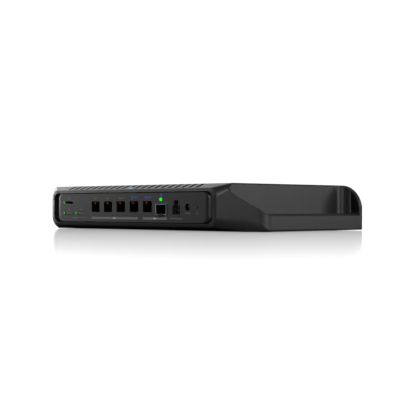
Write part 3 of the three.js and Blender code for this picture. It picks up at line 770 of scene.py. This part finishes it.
# ---- materials ------------------------------
class Nodes:
    """A short way to build one node material on the object's own coordinates."""

    def __init__(self, name):
        self.material = bpy.data.materials.new(name)
        self.material.use_nodes = True
        self.tree = self.material.node_tree
        self.shader = self.tree.nodes["Principled BSDF"]
        self.where = self.add("ShaderNodeTexCoord").outputs["Object"]

    def add(self, kind, **settings):
        node = self.tree.nodes.new(kind)
        for key, value in settings.items():
            setattr(node, key, value)
        return node

    def link(self, a, b):
        self.tree.links.new(a, b)

    def noise(self, scale, detail=3.0, stretch=None):
        node = self.add("ShaderNodeTexNoise")
        node.inputs["Scale"].default_value = scale
        node.inputs["Detail"].default_value = detail
        source = self.where
        if stretch:
            mapping = self.add("ShaderNodeMapping")
            mapping.inputs["Scale"].default_value = stretch
            self.link(source, mapping.inputs["Vector"])
            source = mapping.outputs["Vector"]
        self.link(source, node.inputs["Vector"])
        return node.outputs["Fac"]

    def spread(self, value, low, high, start=0.3, end=0.7):
        node = self.add("ShaderNodeMapRange")
        node.inputs["From Min"].default_value = start
        node.inputs["From Max"].default_value = end
        node.inputs["To Min"].default_value = low
        node.inputs["To Max"].default_value = high
        self.link(value, node.inputs["Value"])
        return node.outputs["Result"]

    def mix(self, factor, a, b):
        node = self.add("ShaderNodeMix", data_type="RGBA")
        self.link(factor, node.inputs["Factor"])
        for socket, value in ((node.inputs[6], a), (node.inputs[7], b)):
            if isinstance(value, tuple):
                socket.default_value = (*value, 1.0)
            else:
                self.link(value, socket)
        return node.outputs[2]

    def bump(self, height, strength, distance):
        node = self.add("ShaderNodeBump")
        node.inputs["Strength"].default_value = strength
        node.inputs["Distance"].default_value = distance
        self.link(height, node.inputs["Height"])
        self.link(node.outputs["Normal"], self.shader.inputs["Normal"])


def scaled(colour, k):
    return tuple(min(1.0, c * k) for c in colour)


def painted(name, colour, rough, peel=2600.0, strength=0.22, mottle=0.08, specular=0.5):
    """Powder coat or fine moulded plastic: an even colour, faint mottle and a fine pebbled skin."""
    n = Nodes(name)
    soft = n.spread(n.noise(60.0, 2.0), 0.0, 1.0)
    fine = n.spread(n.noise(peel * 1.7, 2.0), 0.0, 1.0, 0.35, 0.65)
    base = n.mix(soft, scaled(colour, 1 - mottle), scaled(colour, 1 + mottle))
    sparkle = n.mix(n.spread(fine, 0.0, 0.16, 0.0, 1.0), base, scaled(colour, 1.9))
    n.link(sparkle, n.shader.inputs["Base Color"])
    n.link(n.spread(n.noise(900.0, 4.0), rough - 0.015, rough + 0.015), n.shader.inputs["Roughness"])
    n.shader.inputs["Specular IOR Level"].default_value = specular
    n.bump(n.noise(peel, 3.0), strength, 0.00004)
    return n.material


def metal(name, colour, rough, stretch=(1.0, 14.0, 14.0), tint=0.12):
    """Rolled or drawn metal with fine streaks along one direction."""
    n = Nodes(name)
    streak = n.noise(700.0, 4.0, stretch)
    smudge = n.noise(120.0, 2.0)
    n.link(n.mix(streak, scaled(colour, 1 - tint), scaled(colour, 1 + tint)), n.shader.inputs["Base Color"])
    n.link(n.spread(smudge, rough - 0.07, rough + 0.09), n.shader.inputs["Roughness"])
    n.shader.inputs["Metallic"].default_value = 1.0
    n.bump(streak, 0.12, 0.00002)
    return n.material


def rubbery(name, colour):
    n = Nodes(name)
    mottled = n.mix(n.noise(900.0, 5.0), scaled(colour, 0.7), scaled(colour, 1.4))
    n.link(mottled, n.shader.inputs["Base Color"])
    n.link(n.spread(n.noise(300.0), 0.78, 0.92), n.shader.inputs["Roughness"])
    n.bump(n.noise(3200.0, 4.0), 0.5, 0.00005)
    return n.material


def lit_lens(name, colour, glow, power):
    """A moulded light guide: an even glow with a faint cloudiness."""
    n = Nodes(name)
    cloud = n.noise(1400.0, 2.0)
    n.link(n.mix(cloud, scaled(colour, 0.85), colour), n.shader.inputs["Base Color"])
    n.link(n.mix(cloud, scaled(glow, 0.92), glow), n.shader.inputs["Emission Color"])
    n.shader.inputs["Emission Strength"].default_value = power
    n.link(n.spread(n.noise(500.0), 0.25, 0.4), n.shader.inputs["Roughness"])
    n.bump(n.noise(2500.0, 2.0), 0.1, 0.00002)
    return n.material


def printed(name, colour):
    """Screen-printed ink with a slightly broken density."""
    n = Nodes(name)
    density = n.spread(n.noise(2600.0, 4.0), 0.0, 1.0)
    n.link(n.mix(density, scaled(colour, 0.82), colour), n.shader.inputs["Base Color"])
    n.link(n.spread(n.noise(700.0), 0.5, 0.62), n.shader.inputs["Roughness"])
    n.bump(n.noise(4200.0, 2.0), 0.2, 0.00002)
    return n.material


def circuit(name):
    n = Nodes(name)
    cells = n.add("ShaderNodeTexVoronoi", feature="DISTANCE_TO_EDGE", distance="MANHATTAN")
    cells.inputs["Scale"].default_value = 210.0
    n.link(n.where, cells.inputs["Vector"])
    track = n.spread(cells.outputs["Distance"], 1.0, 0.0, 0.03, 0.08)
    green = n.mix(n.noise(90.0), (0.006, 0.055, 0.024), (0.01, 0.08, 0.035))
    n.link(n.mix(track, green, (0.03, 0.16, 0.07)), n.shader.inputs["Base Color"])
    n.link(n.spread(n.noise(260.0), 0.3, 0.45), n.shader.inputs["Roughness"])
    n.bump(track, 0.3, 0.00004)
    return n.material


PAINT = painted("housing_paint", (0.0235, 0.0243, 0.0237), 0.35, 2300.0, 0.14)
UNDER_PAINT = painted("cover_paint", (0.034, 0.0355, 0.0345), 0.52, 2300.0, 0.25)
PANEL = painted("panel_finish", (0.021, 0.0222, 0.0217), 0.35, 3400.0, 0.1, 0.05)
TRAY = painted("tray_finish", (0.018, 0.019, 0.0185), 0.42, 3400.0, 0.14, 0.05)
BLACK = painted("black_moulding", (0.0035, 0.0035, 0.0037), 0.5, 3000.0, 0.2, 0.15, 0.35)
SOCKET_BLACK = painted("socket_moulding", (0.0016, 0.0016, 0.0017), 0.62, 3000.0, 0.2, 0.15, 0.2)
GREY_CORE = painted("header_moulding", (0.026, 0.026, 0.027), 0.5, 3000.0, 0.2, 0.1, 0.4)
REAR = painted("rear_moulding", (0.005, 0.005, 0.0053), 0.5, 1500.0, 0.35, 0.1, 0.3)
RUBBER = rubbery("foot_rubber", (0.012, 0.012, 0.012))
STEEL = metal("bright_steel", (0.34, 0.345, 0.35), 0.3)
SCREW_STEEL = metal("screw_steel", (0.3, 0.3, 0.31), 0.32, (6.0, 6.0, 6.0))
ALUMINIUM = metal("cast_aluminium", (0.5, 0.51, 0.52), 0.45, (1.0, 6.0, 1.0))
GOLD = metal("gold_plate", (0.85, 0.56, 0.2), 0.25)
COPPER = metal("antenna_copper", (0.7, 0.36, 0.18), 0.35)
BOARD = circuit("circuit_board")
GREEN = lit_lens("green_light", (0.0, 0.3, 0.0), (0.0, 1.0, 0.0), 0.95)
GREEN_DIM = lit_lens("green_light_dim", (0.02, 0.3, 0.03), (0.02, 0.7, 0.06), 0.55)
BLUE = lit_lens("blue_light", (0.05, 0.3, 0.6), (0.06, 0.38, 0.72), 0.8)
AMBER = lit_lens("amber_light", (0.1, 0.03, 0.01), (0.2, 0.03, 0.005), 0.55)
BAR_INK = printed("bar_ink", (0.195, 0.195, 0.225))
TAG_INK = printed("tag_ink", (0.68, 0.68, 0.69))
LABEL_INK = printed("label_ink", (0.155, 0.158, 0.168))
BLUE_INK = printed("blue_ink", (0.045, 0.16, 0.57))


# ---- putting the pieces together ------------------------------
def finish_piece(obj, material, body=BODY, replaces=()):
    obj.data.materials.clear()
    obj.data.materials.append(material)
    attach(obj, body)
    if replaces:
        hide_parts(*replaces)
    return obj


finish_piece(housing, PAINT, replaces=["top_housing"])
finish_piece(panel, PANEL, replaces=["front_panel"])
finish_piece(build_rear(), REAR, replaces=["rear_panel"])

for number, x in enumerate(JACKS, 1):
    jack, contacts, glow = build_jack(number, x)
    finish_piece(jack, SOCKET_BLACK, replaces=[f"rj45_jack_{number}"])
    finish_piece(contacts, GOLD)
    finish_piece(glow, AMBER)

cage, connector, shade_lining = build_cage()
finish_piece(cage, STEEL, replaces=["sfp_cage"])
finish_piece(connector, SOCKET_BLACK)
# The black lining inside the cage is painted shade for the cage's hollow.
finish_piece(shade_lining, SOCKET_BLACK)
tongue, spring = build_latch()
finish_piece(tongue, BLACK, "sfp_latch", ["sfp_latch"])
finish_piece(spring, STEEL, "sfp_latch")

header, header_pins = build_power()
finish_piece(header, GREY_CORE, replaces=["power_header"])
for number, pin in enumerate(header_pins, 1):
    finish_piece(pin, GOLD, replaces=[f"power_pin_{number}"])

dc_body, dc_pin = build_dc()
finish_piece(dc_body, SOCKET_BLACK, replaces=["dc_jack"])
finish_piece(dc_pin, STEEL, replaces=["dc_jack_pin"])

for number, x in enumerate(TRAYS, 1):
    tray_name = f"sim_tray_{number}"
    finish_piece(build_tray(number, x), TRAY, tray_name, [tray_name])

button = dome("reset_plunger", RESET_X, RESET_Z, 2.0, 4.3, 10.2)
finish_piece(button, RUBBER, "reset_button", ["reset_button"])

for name, (x, z) in zip(("microsd_lamp", "sim_lamp_1", "sim_lamp_2"), LAMPS):
    finish_piece(dome(name + "_lens", x, z, 1.7, 0.55, 9.0), GREEN, replaces=[name])
rings = []
for d, inset in ((0.5, 0.4), (0.56, 0.18), (0.75, 0.03), (0.95, 0.0), (9.0, 0.0)):
    lens = rounded(44.7 + inset, 48.1 - inset, 27.95 + inset, 30.85 - inset, 0.9 - inset)
    rings.append([(a, d, b) for a, b in lens])
finish_piece(soften(loft("port_lamp_lens", rings), 0), GREEN, replaces=["port_lamp"])
sfp_lens = block("sfp_lamp_lens", 53.5, 54.5, 0.55, 5, 25.75, 26.4)
finish_piece(soften(sfp_lens, 0.12, 2), GREEN_DIM, replaces=["sfp_lamp"])

rings = []
for d, drop, rise in ((2.6, 0.1, 0.35), (3.2, 0.05, 1.1), (4.0, 0.05, 1.8), (6.6, 0.3, 1.6), (7.0, 0.6, 1.2)):
    top = top_at(d) - drop
    rings.append([(x, d, z) for x, z in rounded(-1.65, 1.65, top - rise, top, rise * 0.3, 3)])
status = loft("status_light_lens", rings)
finish_piece(soften(status, 0.08, 2), BLUE, replaces=["status_light"])

for number, (x, d) in enumerate(FEET, 1):
    finish_piece(foot(f"rubber_foot_{number}", x, d), RUBBER, replaces=[f"foot_{number}"])
for number, (x, d) in enumerate(COVER_SCREWS, 1):
    piece = screw(f"cover_fastener_{number}", x, d, 0.65, "down")
    finish_piece(piece, SCREW_STEEL, replaces=[f"cover_screw_{number}"])
for number, (x, d) in enumerate(BOARD_SCREWS, 1):
    piece = screw(f"board_fastener_{number}", x, d, 15.7, "up", 8.8)
    finish_piece(piece, SCREW_STEEL, replaces=[f"board_screw_{number}"])
for number, (x, z) in enumerate(REAR_SCREWS, 1):
    piece = screw(f"rear_fastener_{number}", x, 167.85, z, "back", 8.4)
    finish_piece(piece, SCREW_STEEL, replaces=[f"rear_screw_{number}"])

INKS = {"bar": BAR_INK, "tag": TAG_INK, "label": LABEL_INK, "blue": BLUE_INK}
for piece, ink in build_marks():
    finish_piece(piece, INKS[ink])

KEPT = {
    "base_cover": UNDER_PAINT, "panel_seal": RUBBER, "main_board": BOARD, "reset_switch": BLACK,
    "microsd_socket": SOCKET_BLACK, "sim_socket_1": SOCKET_BLACK, "sim_socket_2": SOCKET_BLACK,
    "heat_sink": ALUMINIUM, "processor": BLACK, "memory_chip_1": BLACK, "memory_chip_2": BLACK,
    "cellular_module": ALUMINIUM, "antenna_left": COPPER, "antenna_right": COPPER,
}
for node, material in KEPT.items():
    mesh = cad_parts[node].data
    mesh.materials.clear()
    mesh.materials.append(material)


# ---- floor, light and camera ------------------------------
def build_stage():
    """A pale floor. What the lens sees of it is white with a soft sheen; the object sees a dimmer one."""
    floor = make("studio_floor", [(-12, -12, 0), (12, -12, 0), (12, 12, 0), (-12, 12, 0)], [(0, 1, 2, 3)])
    material = bpy.data.materials.new("studio_floor")
    material.use_nodes = True
    tree = material.node_tree
    tree.nodes.remove(tree.nodes["Principled BSDF"])

    def node(kind, **values):
        made = tree.nodes.new(kind)
        for key, value in values.items():
            made.inputs[key].default_value = value
        return made

    def join(kind, factor, first, second):
        made = tree.nodes.new(kind)
        if factor is not None:
            tree.links.new(factor, made.inputs[0])
        start = 0 if factor is None else 1
        tree.links.new(first.outputs[0], made.inputs[start])
        tree.links.new(second.outputs[0], made.inputs[start + 1])
        return made

    pale = node("ShaderNodeBsdfDiffuse", Color=(0.9, 0.9, 0.9, 1))
    fill = node("ShaderNodeEmission", Color=(1, 1, 1, 1), Strength=FLOOR_FILL)
    matt = join("ShaderNodeAddShader", None, pale, fill)
    sheen = node("ShaderNodeBsdfGlossy", Color=(1, 1, 1, 1), Roughness=FLOOR_ROUGH)
    grazing = node("ShaderNodeFresnel", IOR=FLOOR_IOR)
    seen = join("ShaderNodeMixShader", grazing.outputs[0], matt, sheen)
    dim = node("ShaderNodeBsdfDiffuse", Color=(0.12, 0.12, 0.12, 1))
    path = tree.nodes.new("ShaderNodeLightPath")
    whole = join("ShaderNodeMixShader", path.outputs["Is Camera Ray"], dim, seen)
    tree.links.new(whole.outputs[0], tree.nodes["Material Output"].inputs["Surface"])
    floor.data.materials.append(material)


def lamp(name, place_at, look_at, size, power):
    data = bpy.data.lights.new(name, "AREA")
    data.shape = "RECTANGLE"
    data.size, data.size_y = size
    data.energy = power
    obj = bpy.data.objects.new(name, data)
    obj.location = place_at
    direction = Vector(look_at) - Vector(place_at)
    obj.rotation_euler = direction.to_track_quat("-Z", "Y").to_euler()
    bpy.context.scene.collection.objects.link(obj)
    obj.visible_camera = False
    return obj


def build_world():
    """A white backdrop for the lens, a soft glow on the left and a white wall low behind the object."""
    world = bpy.data.worlds.new("studio")
    bpy.context.scene.world = world
    world.use_nodes = True
    tree = world.node_tree
    backdrop = tree.nodes["Background"]
    backdrop.inputs["Color"].default_value = (1, 1, 1, 1)
    backdrop.inputs["Strength"].default_value = 1.05
    where = tree.nodes.new("ShaderNodeTexCoord")
    towards = tree.nodes.new("ShaderNodeVectorMath")
    towards.operation = "DOT_PRODUCT"
    towards.inputs[1].default_value = Vector(GLOW_FROM).normalized()
    tree.links.new(where.outputs["Generated"], towards.inputs[0])

    def smooth(value, limits):
        ramp = tree.nodes.new("ShaderNodeMapRange")
        ramp.interpolation_type = "SMOOTHSTEP"
        for key, limit in zip(("From Min", "From Max", "To Min", "To Max"), limits):
            ramp.inputs[key].default_value = limit
        tree.links.new(value, ramp.inputs["Value"])
        return ramp.outputs["Result"]

    def calculate(operation, first, second):
        made = tree.nodes.new("ShaderNodeMath")
        made.operation = operation
        tree.links.new(first, made.inputs[0])
        tree.links.new(second, made.inputs[1])
        return made.outputs[0]

    behind = tree.nodes.new("ShaderNodeVectorMath")
    behind.operation = "DOT_PRODUCT"
    behind.inputs[1].default_value = WALL_FROM
    tree.links.new(where.outputs["Generated"], behind.inputs[0])
    parts = tree.nodes.new("ShaderNodeSeparateXYZ")
    tree.links.new(where.outputs["Generated"], parts.inputs[0])
    low = smooth(parts.outputs["Z"], WALL_FADE)
    wall = calculate("MULTIPLY", smooth(behind.outputs["Value"], WALL_RANGE), low)
    glow = tree.nodes.new("ShaderNodeBackground")
    glow.inputs["Color"].default_value = (1, 1, 1, 1)
    strength = calculate("MAXIMUM", smooth(towards.outputs["Value"], GLOW_RANGE), wall)
    tree.links.new(strength, glow.inputs["Strength"])
    path = tree.nodes.new("ShaderNodeLightPath")
    blend = tree.nodes.new("ShaderNodeMixShader")
    tree.links.new(path.outputs["Is Camera Ray"], blend.inputs[0])
    tree.links.new(glow.outputs[0], blend.inputs[1])
    tree.links.new(backdrop.outputs[0], blend.inputs[2])
    tree.links.new(blend.outputs[0], tree.nodes["World Output"].inputs["Surface"])


def build_light():
    build_world()
    for name, at, aim, size, power in LAMPS_ROUND:
        lamp(name, at, aim, size, power)
    scene = bpy.context.scene
    scene.view_settings.view_transform = "Standard"
    scene.view_settings.look = "None"
    scene.view_settings.exposure = 0.0
    scene.view_settings.gamma = 1.0


def build_camera():
    data = bpy.data.cameras.new("camera")
    data.sensor_width = 36.0
    data.lens = CAMERA_LENS
    data.clip_start = 0.01
    obj = bpy.data.objects.new("camera", data)
    obj.location = CAMERA_AT
    obj.rotation_euler = [math.radians(turn) for turn in CAMERA_TURN]
    bpy.context.scene.collection.objects.link(obj)
    bpy.context.scene.camera = obj


build_stage()
build_light()
build_camera()
